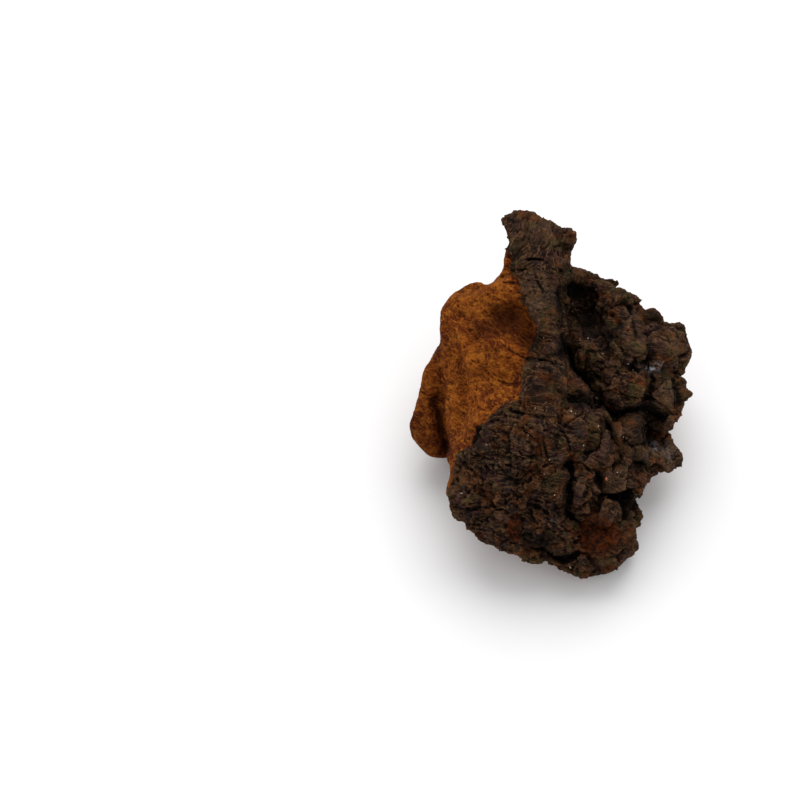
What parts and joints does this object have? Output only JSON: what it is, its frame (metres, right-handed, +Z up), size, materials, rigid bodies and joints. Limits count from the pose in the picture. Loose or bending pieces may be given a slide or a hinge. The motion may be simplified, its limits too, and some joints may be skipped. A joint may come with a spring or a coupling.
{
  "type": "chaga chunk",
  "caption": "Broken chunk of dried chaga: black, cracked, charcoal-like crust over rusty corky flesh, lying on a flat cut.",
  "frame": {"origin": "middle of the outer box, on the level cut that the chunk rests on", "axes": "+Z up; +X to the right of the crusted face, so the rusty flesh is on the -X side; +Y from the plate's foot to the horn, along the chunk's length"},
  "size_m": [0.0418, 0.0488, 0.0301],
  "materials": {
    "chaga": "matte, rough: charred and cracked on the crust, corky on the rusty flesh"
  },
  "bodies": {
    "root": {"chaga_chunk": "chaga"}
  },
  "joints": []
}
